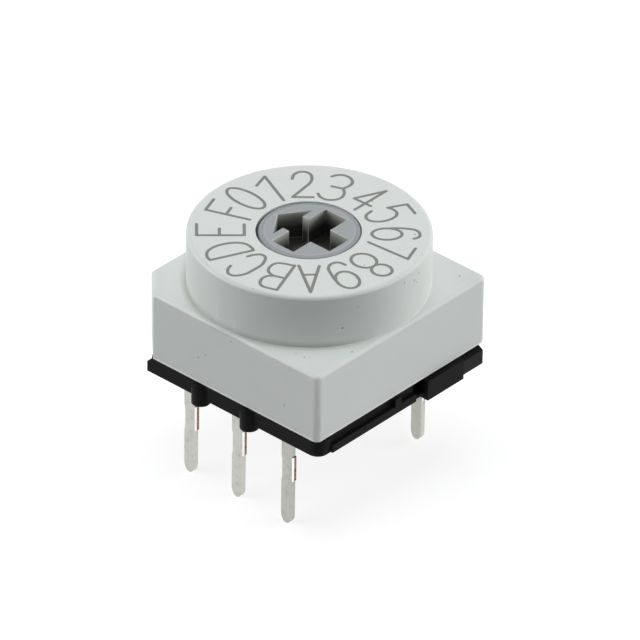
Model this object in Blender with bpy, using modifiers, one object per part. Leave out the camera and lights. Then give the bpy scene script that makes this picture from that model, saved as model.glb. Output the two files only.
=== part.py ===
"""Sixteen-position rotary dip switch for a printed board, modelled in metres with +Z up.

The rotor turns about the Z axis. The tips of the six pins stand on Z = 0, and three of them face -Y.
The front of the switch is its -Y side. The dial's zero lies at -X, and the dial counts clockwise from above.
"""

import math

import bmesh
import bpy
from mathutils import Matrix, Vector

MM = 0.001

# Terminal grid: the plan of the whole switch is built outwards from it
PIN_PITCH = 2.54 * MM
ROW_SPACING = 7.62 * MM
ROW_OFFSET = 0.14 * MM
PIN_WALL_GAP = 0.06 * MM

# Housing: a square cover with a round boss on top, moulded in one piece
HOUSING_HEIGHT = 3.00 * MM
HOUSING_CORNER_RADIUS = 0.43 * MM
HOUSING_CUT_CORNER = 1.22 * MM
HOUSING_TOP_FILLET = 0.15 * MM
HOUSING_WALL = 0.75 * MM
HOUSING_ROOF = 0.80 * MM
BOSS_INSET = 0.13 * MM
BOSS_HEIGHT = 2.27 * MM
BOSS_TOP_FILLET = 0.17 * MM
BOSS_WALL = 0.87 * MM
BOSS_ROOF = 1.00 * MM
COLLAR_WALL = 0.70 * MM
COLLAR_LENGTH = 1.85 * MM
POCKET_CORNER_RADIUS = 0.45 * MM

# Base: the black floor that closes the housing and carries the terminals
BASE_THICKNESS = 0.67 * MM
BASE_SIDE_OVERHANG = 0.08 * MM
BASE_CORNER_RADIUS = 0.45 * MM
BASE_REAR_CORNER_RADIUS = 1.00 * MM
BASE_CUT_CORNER_X = 0.93 * MM
BASE_CUT_CORNER_Y = 1.33 * MM
BASE_CUT_END_DEPTH = 0.26 * MM
BASE_CUT_END_RUN = 0.26 * MM
BASE_CUT_END_DROP = 0.22 * MM
PLATEAU_HEIGHT = 0.60 * MM
PEG_RADIUS = 0.38 * MM
PEG_PROUD = 0.25 * MM
PEG_DROP = 0.27 * MM
PEG_TOP_CHAMFER = 0.14 * MM
RAIL_HEIGHT = 0.34 * MM
RAIL_PROUD = 0.10 * MM
RECESS_DEPTH = 0.10 * MM
RECESS_FRONT_INSET = 0.70 * MM
NOTCH_DEPTH = 0.45 * MM
NOTCH_LENGTH = 0.60 * MM
NOTCH_FLOOR = 0.12 * MM
RIB_TO_BLOCK = 1.64 * MM
RIB_WIDTH = 0.33 * MM
BLOCK_REAR_INSET = 1.58 * MM
BLOCK_LENGTH = 2.09 * MM
BLOCK_PROUD = 0.17 * MM
BLOCK_BOTTOM_DROP = 0.23 * MM
END_REAR_INSET = 0.40 * MM
END_PROUD = 0.12 * MM
END_BOTTOM_DROP = 0.10 * MM
END_SHOULDER_DROP = 0.15 * MM
HUB_RADIUS = 0.80 * MM
HUB_HEIGHT = 1.10 * MM
SPRING_POST_WIDTH = 0.62 * MM
SPRING_POST_DEPTH = 0.60 * MM
SPRING_POST_GRIP = 0.32 * MM
SPRING_POST_LAND_GAP = 0.05 * MM

# Rotor: the turned and slotted head with its flange, detent star and pivot
ROTOR_HEAD_RADIUS = 2.00 * MM
ROTOR_HEAD_HEIGHT = 1.34 * MM
ROTOR_HEAD_CHAMFER = 0.06 * MM
ROTOR_SINK = 0.02 * MM
SEAL_GROOVE_DEPTH = 0.50 * MM
ROTOR_FLANGE_CLEARANCE = 0.40 * MM
ROTOR_FLANGE_HEIGHT = 1.00 * MM
ROTOR_HUB_RADIUS = 0.60 * MM
PIVOT_RADIUS = 0.50 * MM
PIVOT_END_GAP = 0.10 * MM
STAR_HEIGHT = 0.65 * MM
STAR_FLANGE_STEP = 0.30 * MM
STAR_LOBE_HEIGHT = 0.25 * MM

# Driver recess in the rotor's head: a cross whose -X arm is an arrowhead
RECESS_DEPTH_IN_HEAD = 1.15 * MM
RECESS_ARM_HALF_WIDTH = 0.56 * MM
RECESS_ARM_REACH = 1.55 * MM
ARROW_TIP_REACH = 1.67 * MM
ARROW_BARB_X = 0.88 * MM
ARROW_BARB_HALF_WIDTH = 1.12 * MM

# Code disc and its gilded track
CODE_BITS = 4
POSITIONS = 2 ** CODE_BITS
DISC_OVERHANG = 0.10 * MM
DISC_THICKNESS = 0.20 * MM
TRACK_THICKNESS = 0.03 * MM
TRACK_GAP = 0.125 * MM
TRACK_HUB_MARGIN = 0.58 * MM
TRACK_EDGE_MARGIN = 0.25 * MM

# Terminals: stamped blades with a land for the wiper
PIN_LENGTH_BELOW_BASE = 4.50 * MM
PIN_WIDTH = 0.56 * MM
PIN_THICKNESS = 0.28 * MM
PIN_TAB_PROUD = 0.055 * MM
PIN_TAB_BOTTOM = 1.88 * MM
PIN_TAB_LENGTH = 1.22 * MM
PIN_TIP_LENGTH = 0.42 * MM
PIN_TIP_HALF_FLAT = 0.06 * MM
LAND_THICKNESS = 0.22 * MM
LAND_REACH = 0.91 * MM

# Wipers: thin spring strips from the lands up to the track
WIPER_THICKNESS = 0.08 * MM
WIPER_WIDTH = 0.32 * MM
WIPER_ROOT_LENGTH = 0.50 * MM
WIPER_NOSE_LENGTH = 0.16 * MM
WIPER_NOSE_RISE = 0.06 * MM

# Detent springs: two bowed steel strips beside the star
DETENT_THICKNESS = 0.12 * MM
DETENT_HEIGHT = 0.45 * MM
DETENT_STAR_GAP = 0.25 * MM
DETENT_BUMP_HALF_LENGTH = 0.95 * MM
DETENT_BUMP_NOSE_RADIUS = 0.22 * MM

# Clearances between pieces
SEAT_GAP = 0.02 * MM
RUNNING_CLEARANCE = 0.06 * MM
PIVOT_CLEARANCE = 0.03 * MM
SLOT_CLEARANCE = 0.04 * MM
SEAL_CLEARANCE = 0.02 * MM
DETENT_CLEARANCE = 0.03 * MM
WIPER_CLEARANCE = 0.04 * MM
PLATEAU_CLEARANCE = 0.05 * MM

# Smoothness of the round forms
ROUND_STEPS = 96
SMALL_ROUND_STEPS = 32
CORNER_STEPS = 6
FILLET_STEPS = 3
LOBE_STEPS = 8
SECTOR_STEPS = 4
RING_SECTION_STEPS = 12
CUT_MARGIN = 0.50 * MM
WELD_DISTANCE = 0.0005 * MM

# Heights, worked out from the pin tips upwards
base_bottom = PIN_LENGTH_BELOW_BASE
base_top = base_bottom + BASE_THICKNESS
housing_bottom = base_top + SEAT_GAP
housing_top = housing_bottom + HOUSING_HEIGHT
boss_top = housing_top + BOSS_HEIGHT
pocket_roof = housing_top - HOUSING_ROOF
plateau_top = base_top + PLATEAU_HEIGHT
hub_top = base_top + HUB_HEIGHT
collar_bottom = boss_top - COLLAR_LENGTH
land_bottom = plateau_top + SEAT_GAP
land_top = land_bottom + LAND_THICKNESS

rotor_top = boss_top - ROTOR_SINK
head_bottom = rotor_top - ROTOR_HEAD_HEIGHT
flange_top = collar_bottom - RUNNING_CLEARANCE
flange_bottom = flange_top - ROTOR_FLANGE_HEIGHT
star_bottom = flange_bottom - STAR_HEIGHT
disc_top = star_bottom - SEAT_GAP
disc_bottom = disc_top - DISC_THICKNESS
track_top = disc_bottom - SEAT_GAP / 2
track_bottom = track_top - TRACK_THICKNESS
detent_top = pocket_roof - PLATEAU_CLEARANCE
detent_bottom = detent_top - DETENT_HEIGHT
pivot_hole_bottom = base_bottom + BASE_THICKNESS / 2
pivot_bottom = pivot_hole_bottom + PIVOT_END_GAP

# Plan sizes, from the rows of pins outwards
pin_row_y = ROW_SPACING / 2
pocket_half = pin_row_y + ROW_OFFSET + PIN_THICKNESS / 2 + PIN_WALL_GAP
housing_half = pocket_half + HOUSING_WALL
plateau_half = pocket_half - PLATEAU_CLEARANCE
base_half_x = housing_half + BASE_SIDE_OVERHANG
peg_y = housing_half + PEG_PROUD - PEG_RADIUS
peg_x = PIN_PITCH / 2
land_inner_y = pin_row_y - LAND_REACH

# Plan sizes, from the boss inwards
boss_radius = housing_half - BOSS_INSET
boss_cavity_radius = boss_radius - BOSS_WALL
bore_radius = ROTOR_HEAD_RADIUS + RUNNING_CLEARANCE
neck_radius = ROTOR_HEAD_RADIUS - SEAL_GROOVE_DEPTH
collar_radius = bore_radius + COLLAR_WALL
flange_radius = boss_cavity_radius - ROTOR_FLANGE_CLEARANCE
star_radius = flange_radius - STAR_FLANGE_STEP
star_valley_radius = star_radius - STAR_LOBE_HEIGHT
detent_offset = star_radius + DETENT_STAR_GAP
post_inner_y = land_inner_y - SPRING_POST_LAND_GAP - SPRING_POST_DEPTH
disc_radius = star_valley_radius + DISC_OVERHANG
common_track_radius = ROTOR_HUB_RADIUS + TRACK_HUB_MARGIN
outer_track_radius = disc_radius - TRACK_EDGE_MARGIN
track_pitch = (outer_track_radius - common_track_radius) / CODE_BITS
track_width = track_pitch - TRACK_GAP
sector_angle = 2 * math.pi / POSITIONS


# Scene and collections
for old_object in list(bpy.data.objects):
    bpy.data.objects.remove(old_object, do_unlink=True)

parts = bpy.data.collections.new("rotary_dip_switch")
cutters = bpy.data.collections.new("shaping_tools")
bpy.context.scene.collection.children.link(parts)
bpy.context.scene.collection.children.link(cutters)


def plastic(name, colour, roughness):
    """A moulded plastic."""
    return finish(name, colour, roughness, 0.0)


def metal(name, colour, roughness):
    """A bare or plated metal."""
    return finish(name, colour, roughness, 1.0)


def finish(name, colour, roughness, metallic):
    """A Principled material from a linear colour."""
    material = bpy.data.materials.new(name)
    material.use_nodes = True
    shader = material.node_tree.nodes["Principled BSDF"]
    shader.inputs["Base Color"].default_value = (*colour, 1.0)
    shader.inputs["Roughness"].default_value = roughness
    shader.inputs["Metallic"].default_value = metallic
    return material


housing_plastic = plastic("light_grey_polyester", (0.62, 0.64, 0.64), 0.45)
base_plastic = plastic("black_polyester", (0.018, 0.018, 0.020), 0.40)
rotor_plastic = plastic("mid_grey_polyamide", (0.36, 0.38, 0.39), 0.40)
seal_rubber = plastic("black_silicone_rubber", (0.02, 0.02, 0.02), 0.70)
disc_laminate = plastic("green_glass_laminate", (0.03, 0.14, 0.07), 0.50)
track_gold = metal("gold_plate", (0.80, 0.58, 0.22), 0.25)
terminal_tin = metal("tinned_copper", (0.62, 0.63, 0.61), 0.32)
wiper_bronze = metal("gilded_bronze_strip", (0.72, 0.50, 0.22), 0.28)
spring_steel = metal("spring_steel", (0.52, 0.53, 0.55), 0.30)


def new_object(name, mesh, collection):
    """Link a mesh to a collection as an object."""
    made = bpy.data.objects.new(name, mesh)
    collection.objects.link(made)
    return made


def as_part(made, material):
    """Show an object as a piece of the switch, in its material, with round forms smooth."""
    made.data.materials.clear()
    made.data.materials.append(material)
    made.data.shade_smooth()
    made.data.set_sharp_from_angle(angle=math.radians(35))
    return made


def as_tool(made):
    """Keep an object only as a shaping tool."""
    made.hide_render = True
    made.display_type = "WIRE"
    return made


def mesh_from(shape, name):
    """Turn a bmesh into a mesh and free it."""
    bmesh.ops.recalc_face_normals(shape, faces=shape.faces)
    mesh = bpy.data.meshes.new(name)
    shape.to_mesh(mesh)
    shape.free()
    return mesh


def box(name, low, high, collection):
    """A block between two corners."""
    shape = bmesh.new()
    low = Vector(low)
    size = Vector(high) - low
    middle = Matrix.Translation(low + size / 2) @ Matrix.Diagonal((*size, 1.0))
    bmesh.ops.create_cube(shape, size=1.0, matrix=middle)
    return new_object(name, mesh_from(shape, name), collection)


def cylinder(name, radius, centre, bottom, top, collection, steps=SMALL_ROUND_STEPS):
    """An upright cylinder over a centre in plan."""
    shape = bmesh.new()
    place = Matrix.Translation((centre[0], centre[1], (bottom + top) / 2))
    bmesh.ops.create_cone(shape, cap_ends=True, segments=steps, radius1=radius, radius2=radius,
                          depth=top - bottom, matrix=place)
    return new_object(name, mesh_from(shape, name), collection)


def prism(name, outline, depth, place, collection):
    """A closed outline in its own XY plane, thickened both ways by half its depth and then placed."""
    curve = bpy.data.curves.new(name, "CURVE")
    curve.dimensions = "2D"
    curve.fill_mode = "BOTH"
    curve.extrude = depth / 2
    spline = curve.splines.new("POLY")
    spline.points.add(len(outline) - 1)
    for point, (across, along) in zip(spline.points, outline):
        point.co = (across, along, 0.0, 1.0)
    spline.use_cyclic_u = True
    guide = new_object(name, curve, collection)
    evaluated = guide.evaluated_get(bpy.context.evaluated_depsgraph_get())
    mesh = bpy.data.meshes.new_from_object(evaluated)
    bpy.data.objects.remove(guide, do_unlink=True)
    bpy.data.curves.remove(curve)
    shape = bmesh.new()
    shape.from_mesh(mesh)
    bmesh.ops.remove_doubles(shape, verts=shape.verts, dist=WELD_DISTANCE)
    bmesh.ops.dissolve_limit(shape, angle_limit=math.radians(0.5), verts=shape.verts, edges=shape.edges)
    bmesh.ops.transform(shape, matrix=place, verts=shape.verts)
    bpy.data.meshes.remove(mesh)
    return new_object(name, mesh_from(shape, name), collection)


def upright(bottom, top):
    """The placing of a prism that stands on its outline between two heights."""
    return Matrix.Translation((0.0, 0.0, (bottom + top) / 2))


def turned(name, profile, collection, steps=ROUND_STEPS, closed=False):
    """A body of revolution about Z, from a profile of radius and height that runs down its outer side."""
    mesh = bpy.data.meshes.new(name)
    points = [(radius, 0.0, height) for radius, height in profile]
    edges = [(index, index + 1) for index in range(len(points) - 1)]
    if closed:
        edges.append((len(points) - 1, 0))
    mesh.from_pydata(points, edges, [])
    made = new_object(name, mesh, collection)
    screw = made.modifiers.new("turn", "SCREW")
    screw.axis = "Z"
    screw.angle = 2 * math.pi
    screw.steps = steps
    screw.render_steps = steps
    screw.use_merge_vertices = True
    screw.merge_threshold = WELD_DISTANCE
    screw.use_smooth_shade = True
    return made


def shape_by(target, tool, operation):
    """Join a tool to a body or cut it away, and keep the tool out of sight."""
    step = target.modifiers.new(tool.name, "BOOLEAN")
    step.operation = operation
    step.object = tool
    step.solver = "EXACT"
    as_tool(tool)
    return target


def join(target, tool):
    """Add a tool's solid to a body."""
    return shape_by(target, tool, "UNION")


def cut(target, tool):
    """Take a tool's solid out of a body."""
    return shape_by(target, tool, "DIFFERENCE")


def arc(centre, radius, start, end, steps):
    """Points on an arc between two angles in radians."""
    turn = (end - start) / steps
    return [(centre[0] + radius * math.cos(start + turn * index),
             centre[1] + radius * math.sin(start + turn * index)) for index in range(steps + 1)]


def square_outline(half_x, half_y, radius, first_corner=None, rear_radius=None):
    """An outline with rounded corners, counter-clockwise from its -X -Y corner, which may differ."""
    rear = rear_radius or radius
    outline = list(first_corner or [])
    if not outline:
        outline = arc((-half_x + radius, -half_y + radius), radius, math.pi, 1.5 * math.pi, CORNER_STEPS)
    outline += arc((half_x - radius, -half_y + radius), radius, 1.5 * math.pi, 2 * math.pi, CORNER_STEPS)
    outline += arc((half_x - rear, half_y - rear), rear, 0.0, 0.5 * math.pi, CORNER_STEPS)
    outline += arc((-half_x + rear, half_y - rear), rear, 0.5 * math.pi, math.pi, CORNER_STEPS)
    return outline


def round_rim(made, height, radius, steps=FILLET_STEPS):
    """Round the edges that lie at one height, in flat steps."""
    shape = bmesh.new()
    shape.from_mesh(made.data)
    rim = [edge for edge in shape.edges
           if all(abs(vertex.co.z - height) < WELD_DISTANCE for vertex in edge.verts)]
    bmesh.ops.bevel(shape, geom=rim, offset=radius, offset_type="OFFSET", segments=steps,
                    profile=0.5, affect="EDGES", clamp_overlap=True, material=-1)
    shape.to_mesh(made.data)
    shape.free()


def chamfer_rim(made, height, width):
    """Chamfer the edges that lie at one height."""
    round_rim(made, height, width, steps=1)


def filleted_top(radius, top, fillet):
    """The profile of a round top: out from the axis, round the edge and onto the side."""
    centre = (radius - fillet, top - fillet)
    return [(0.0, top)] + arc(centre, fillet, 0.5 * math.pi, 0.0, FILLET_STEPS + 1)


def build_housing():
    """The cover: a filleted square with one cut corner, the round boss, the pocket and the bored collar."""
    cut_corner = [(-housing_half, -housing_half + HOUSING_CUT_CORNER),
                  (-housing_half + HOUSING_CUT_CORNER, -housing_half)]
    outline = square_outline(housing_half, housing_half, HOUSING_CORNER_RADIUS, cut_corner)
    housing = prism("housing", outline, HOUSING_HEIGHT, upright(housing_bottom, housing_top), parts)
    round_rim(housing, housing_top, HOUSING_TOP_FILLET)

    boss_foot = housing_top - HOUSING_ROOF / 2
    boss_profile = filleted_top(boss_radius, boss_top, BOSS_TOP_FILLET)
    boss_profile += [(boss_radius, boss_foot), (0.0, boss_foot)]
    join(housing, turned("boss", boss_profile, cutters))

    pocket_outline = square_outline(pocket_half, pocket_half, POCKET_CORNER_RADIUS)
    pocket_floor = housing_bottom - CUT_MARGIN
    cut(housing, prism("pocket", pocket_outline, pocket_roof - pocket_floor,
                       upright(pocket_floor, pocket_roof), cutters))

    cavity_roof = boss_top - BOSS_ROOF
    cavity_floor = pocket_roof - HOUSING_ROOF / 2
    cavity_profile = [(0.0, boss_top + CUT_MARGIN), (bore_radius, boss_top + CUT_MARGIN),
                      (bore_radius, collar_bottom), (collar_radius, collar_bottom),
                      (collar_radius, cavity_roof), (boss_cavity_radius, cavity_roof),
                      (boss_cavity_radius, cavity_floor), (0.0, cavity_floor)]
    cut(housing, turned("rotor_cavity", cavity_profile, cutters))
    return as_part(housing, housing_plastic)


def side_details(base, side):
    """Recess, rail, rib, block and sloped end along one long side of the base; side is +1 or -1."""
    def slab(label, inner, outer, low_y, high_y, low_z, high_z):
        near, far = sorted((side * inner, side * outer))
        return box(f"{label}_{'right' if side > 0 else 'left'}", (near, low_y, low_z), (far, high_y, high_z),
                   cutters)

    recess_front = -housing_half + (RECESS_FRONT_INSET if side > 0 else BASE_CUT_CORNER_Y)
    rail_top = base_bottom + RAIL_HEIGHT
    recess_wall = base_half_x - RECESS_DEPTH
    rail_face = base_half_x + RAIL_PROUD
    root = recess_wall - CUT_MARGIN
    outside = base_half_x + CUT_MARGIN
    cover_top = base_top - SEAT_GAP
    block_rear = housing_half - BLOCK_REAR_INSET
    block_front = block_rear - BLOCK_LENGTH
    rib_y = block_front - RIB_TO_BLOCK
    notch_front = block_front - NOTCH_LENGTH
    cut(base, slab("side_recess", recess_wall, outside, recess_front, housing_half + CUT_MARGIN,
                   rail_top, base_top + CUT_MARGIN))
    join(base, slab("rail", root, rail_face, recess_front, notch_front, base_bottom, rail_top))
    join(base, slab("rib", root, rail_face, rib_y - RIB_WIDTH / 2, rib_y + RIB_WIDTH / 2,
                    base_bottom, cover_top))
    join(base, slab("block", root, base_half_x + BLOCK_PROUD, block_front, block_rear,
                    base_bottom - BLOCK_BOTTOM_DROP, cover_top))
    cut(base, slab("notch", base_half_x - NOTCH_DEPTH, outside, notch_front, block_front,
                   base_bottom + NOTCH_FLOOR, base_top + CUT_MARGIN))

    end_face = base_half_x + END_PROUD
    end_bottom = base_bottom - END_BOTTOM_DROP
    end_outline = [(root, end_bottom), (end_face, end_bottom), (end_face, base_top - END_SHOULDER_DROP),
                   (housing_half, cover_top), (root, cover_top)]
    along_y = Matrix.Rotation(math.pi / 2, 4, "X")
    across = Matrix.Diagonal((side, 1.0, 1.0, 1.0))
    end_rear = housing_half - END_REAR_INSET
    end_front = block_rear - RIB_WIDTH
    end_place = Matrix.Translation((0.0, (end_front + end_rear) / 2, 0.0)) @ across @ along_y
    end_length = end_rear - end_front
    end_name = f"sloped_end_{'right' if side > 0 else 'left'}"
    join(base, prism(end_name, end_outline, end_length, end_place, cutters))


def build_base():
    """The floor: a plate with pegs and side details, a plateau inside, the pivot hub and the spring posts."""
    cut_x = -base_half_x + BASE_CUT_CORNER_X
    cut_y = -housing_half + BASE_CUT_CORNER_Y
    cut_corner = [(-base_half_x, cut_y), (cut_x, -housing_half + BASE_CUT_END_DEPTH), (cut_x, -housing_half)]
    outline = square_outline(base_half_x, housing_half, BASE_CORNER_RADIUS, cut_corner,
                             BASE_REAR_CORNER_RADIUS)
    base = prism("base", outline, BASE_THICKNESS, upright(base_bottom, base_top), parts)
    for side in (1, -1):
        side_details(base, side)

    slope_foot = base_top - BASE_CUT_END_DROP
    slope_outline = [(cut_x + BASE_CUT_END_RUN, base_top), (cut_x + BASE_CUT_END_RUN, base_top + CUT_MARGIN),
                     (-base_half_x, base_top + CUT_MARGIN), (-base_half_x, slope_foot), (cut_x, slope_foot)]
    slope_front = -housing_half - CUT_MARGIN
    slope_rear = cut_y - BASE_CUT_END_RUN
    slope_place = Matrix.Translation((0.0, (slope_front + slope_rear) / 2, 0.0))
    slope_place = slope_place @ Matrix.Rotation(math.pi / 2, 4, "X")
    cut(base, prism("cut_corner_slope", slope_outline, slope_rear - slope_front, slope_place, cutters))

    for x_sign in (1, -1):
        for y_sign in (1, -1):
            centre = (x_sign * peg_x, y_sign * peg_y)
            peg = cylinder(f"peg_{x_sign}_{y_sign}", PEG_RADIUS, centre, base_bottom - PEG_DROP,
                           base_top - SEAT_GAP, cutters)
            chamfer_rim(peg, base_top - SEAT_GAP, PEG_TOP_CHAMFER)
            join(base, peg)

    plateau_outline = square_outline(plateau_half, plateau_half, POCKET_CORNER_RADIUS)
    plateau_root = base_top - BASE_THICKNESS / 2
    join(base, prism("plateau", plateau_outline, plateau_top - plateau_root,
                     upright(plateau_root, plateau_top), cutters))
    join(base, cylinder("hub", HUB_RADIUS, (0.0, 0.0), plateau_root, hub_top, cutters))
    cut(base, cylinder("pivot_hole", PIVOT_RADIUS + PIVOT_CLEARANCE, (0.0, 0.0), pivot_hole_bottom,
                       hub_top + CUT_MARGIN, cutters))

    slot_half_width = PIN_WIDTH / 2 + SLOT_CLEARANCE
    slot_half_depth = PIN_THICKNESS / 2 + SLOT_CLEARANCE
    for column in (-1, 0, 1):
        for row in (-1, 1):
            x, y = column * PIN_PITCH, row * pin_row_y - ROW_OFFSET
            cut(base, box(f"slot_{column}_{row}", (x - slot_half_width, y - slot_half_depth, 0.0),
                          (x + slot_half_width, y + slot_half_depth, plateau_top + CUT_MARGIN), cutters))

    groove_half = DETENT_THICKNESS / 2 + SLOT_CLEARANCE
    for x_sign in (1, -1):
        for y_sign in (1, -1):
            x = x_sign * detent_offset
            inner = y_sign * post_inner_y
            outer = y_sign * (post_inner_y + SPRING_POST_DEPTH)
            low_y, high_y = sorted((inner, outer))
            join(base, box(f"post_{x_sign}_{y_sign}", (x - SPRING_POST_WIDTH / 2, low_y, plateau_root),
                           (x + SPRING_POST_WIDTH / 2, high_y, detent_top), cutters))
            low_y, high_y = sorted((inner - y_sign * CUT_MARGIN, inner + y_sign * SPRING_POST_GRIP))
            groove_floor = detent_bottom - SLOT_CLEARANCE
            cut(base, box(f"groove_{x_sign}_{y_sign}", (x - groove_half, low_y, groove_floor),
                          (x + groove_half, high_y, detent_top + CUT_MARGIN), cutters))
    return as_part(base, base_plastic)


def star_outline():
    """Lobes round the rotor, one for each position, with a valley on the X axis."""
    steps = POSITIONS * LOBE_STEPS
    outline = []
    for index in range(steps):
        angle = 2 * math.pi * index / steps
        lift = 0.5 - 0.5 * math.cos(POSITIONS * angle)
        radius = star_valley_radius + STAR_LOBE_HEIGHT * lift
        outline.append((radius * math.cos(angle), radius * math.sin(angle)))
    return outline


def cut_driver_recess(rotor):
    """Sink a cross into the head, with an arrowhead on its -X arm."""
    arm = RECESS_ARM_HALF_WIDTH
    reach = RECESS_ARM_REACH
    floor = rotor_top - RECESS_DEPTH_IN_HEAD
    mouth = rotor_top + CUT_MARGIN
    arrow_root = (ARROW_BARB_X + ARROW_TIP_REACH) / 2
    cut(rotor, box("recess_along_x", (-arrow_root, -arm, floor), (reach, arm, mouth), cutters))
    cut(rotor, box("recess_along_y", (-arm, -reach, floor), (arm, reach, mouth), cutters))
    arrow = [(-ARROW_TIP_REACH, 0.0), (-ARROW_BARB_X, -ARROW_BARB_HALF_WIDTH),
             (-ARROW_BARB_X, ARROW_BARB_HALF_WIDTH)]
    cut(rotor, prism("recess_arrow", arrow, mouth - floor, upright(floor, mouth), cutters))


def build_rotor():
    """The knob: a slotted head in the bore, the neck for the seal, the flange, the star and the pivot."""
    profile = [(0.0, rotor_top), (ROTOR_HEAD_RADIUS - ROTOR_HEAD_CHAMFER, rotor_top),
               (ROTOR_HEAD_RADIUS, rotor_top - ROTOR_HEAD_CHAMFER), (ROTOR_HEAD_RADIUS, head_bottom),
               (neck_radius, head_bottom), (neck_radius, flange_top),
               (flange_radius, flange_top), (flange_radius, flange_bottom),
               (ROTOR_HUB_RADIUS, flange_bottom), (ROTOR_HUB_RADIUS, disc_bottom),
               (PIVOT_RADIUS, disc_bottom), (PIVOT_RADIUS, pivot_bottom), (0.0, pivot_bottom)]
    rotor = turned("rotor", profile, parts)
    star_root = flange_bottom + ROTOR_FLANGE_HEIGHT / 2
    join(rotor, prism("detent_star", star_outline(), star_root - star_bottom,
                      upright(star_bottom, star_root), cutters))
    cut_driver_recess(rotor)
    return as_part(rotor, rotor_plastic)


def build_seal_ring():
    """The rubber ring in the rotor's neck groove, held by the collar around it."""
    centre_radius = (neck_radius + bore_radius) / 2
    centre_height = (head_bottom + flange_top) / 2
    section = min(bore_radius - neck_radius, head_bottom - flange_top) / 2 - SEAL_CLEARANCE
    profile = arc((centre_radius, centre_height), section, 0.5 * math.pi, -1.5 * math.pi, RING_SECTION_STEPS)
    ring = turned("rotor_seal_ring", profile[:-1], parts, steps=ROUND_STEPS // 2, closed=True)
    return as_part(ring, seal_rubber)


def build_code_disc():
    """The laminate disc under the star, held on the rotor's hub."""
    inner = ROTOR_HUB_RADIUS + PIVOT_CLEARANCE
    profile = [(inner, disc_top), (disc_radius, disc_top), (disc_radius, disc_bottom), (inner, disc_bottom)]
    disc = turned("code_disc", profile, parts, closed=True)
    return as_part(disc, disc_laminate)


def wiper_plan():
    """Each wiper by name: its track radius, contact angle, pin column, pin row and binary weight."""
    inner = common_track_radius
    return {
        "common_front": (inner, math.radians(-90), 0, -1, None),
        "common_rear": (inner, math.radians(90), 0, 1, None),
        "bit_1": (inner + track_pitch, math.radians(135), -1, 1, 1),
        "bit_2": (inner + 2 * track_pitch, math.radians(45), 1, 1, 2),
        "bit_4": (inner + 3 * track_pitch, math.radians(-135), -1, -1, 4),
        "bit_8": (inner + 4 * track_pitch, math.radians(-45), 1, -1, 8),
    }


def track_is_metal(wiper_angle, weight, sector):
    """Whether a track has metal in a sector: its wiper meets the dial's number there as the rotor turns."""
    steps_from_wiper = sector - round(wiper_angle / sector_angle)
    return bool(steps_from_wiper % POSITIONS & weight)


def build_code_track():
    """The gilded pattern: a common ring and four coded rings, bridged where neighbours both have metal."""
    coded = [entry for entry in wiper_plan().values() if entry[4]]
    half = track_width / 2
    radii = [common_track_radius - half, common_track_radius + half]
    for ring_radius, _, _, _, _ in coded:
        radii += [ring_radius - half, ring_radius + half]
    filled = [[True] * POSITIONS]
    for _, angle, _, _, weight in coded:
        ring = [track_is_metal(angle, weight, sector) for sector in range(POSITIONS)]
        inner_ring = filled[-1]
        filled.append([here and below for here, below in zip(ring, inner_ring)])
        filled.append(ring)

    shape = bmesh.new()
    steps = POSITIONS * SECTOR_STEPS
    grid = []
    for radius in radii:
        angles = [sector_angle * (index / SECTOR_STEPS - 0.5) for index in range(steps)]
        grid.append([shape.verts.new((radius * math.cos(a), radius * math.sin(a), track_bottom))
                     for a in angles])
    for band, sectors in enumerate(filled):
        for index in range(steps):
            if sectors[index // SECTOR_STEPS]:
                after = (index + 1) % steps
                inner, outer = grid[band], grid[band + 1]
                shape.faces.new((inner[index], outer[index], outer[after], inner[after]))
    loose = [vertex for vertex in shape.verts if not vertex.link_faces]
    bmesh.ops.delete(shape, geom=loose, context="VERTS")
    thick = bmesh.ops.extrude_face_region(shape, geom=list(shape.faces), use_keep_orig=True)
    raised = [item for item in thick["geom"] if isinstance(item, bmesh.types.BMVert)]
    bmesh.ops.translate(shape, vec=(0.0, 0.0, TRACK_THICKNESS), verts=raised)
    track = new_object("code_track", mesh_from(shape, "code_track"), parts)
    return as_part(track, track_gold)


def blade_outline():
    """A terminal's blade seen from the front, from its rounded tip up to the land."""
    half = PIN_WIDTH / 2
    last = math.acos(PIN_TIP_HALF_FLAT / half)
    tip = []
    for index in range(CORNER_STEPS + 1):
        angle = last * index / CORNER_STEPS
        tip.append((half * math.cos(angle), PIN_TIP_LENGTH * (1 - math.sin(angle) / math.sin(last))))
    left = [(-x, z) for x, z in tip]
    tab_face = half + PIN_TAB_PROUD
    tab_top = PIN_TAB_BOTTOM + PIN_TAB_LENGTH
    right_side = [(half, PIN_TAB_BOTTOM), (tab_face, PIN_TAB_BOTTOM), (tab_face, tab_top), (half, tab_top),
                  (half, land_top), (-half, land_top)]
    return left + list(reversed(tip)) + right_side


def build_terminal(label, column, row, contact_x):
    """One stamped terminal: the blade, and the land bent inwards under its wiper."""
    x, y = column * PIN_PITCH, row * pin_row_y - ROW_OFFSET
    along_y = Matrix.Rotation(math.pi / 2, 4, "X")
    place = Matrix.Translation((x, y, 0.0)) @ along_y
    terminal = prism(f"terminal_{label}", blade_outline(), PIN_THICKNESS, place, parts)
    reach = WIPER_WIDTH / 2 + SLOT_CLEARANCE
    low_x = min(x - PIN_WIDTH / 2, contact_x - reach)
    high_x = max(x + PIN_WIDTH / 2, contact_x + reach)
    low_y, high_y = sorted((row * land_inner_y, y + row * PIN_THICKNESS / 2))
    join(terminal, box(f"land_{label}", (low_x, low_y, land_bottom), (high_x, high_y, land_top), cutters))
    return as_part(terminal, terminal_tin)


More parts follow.
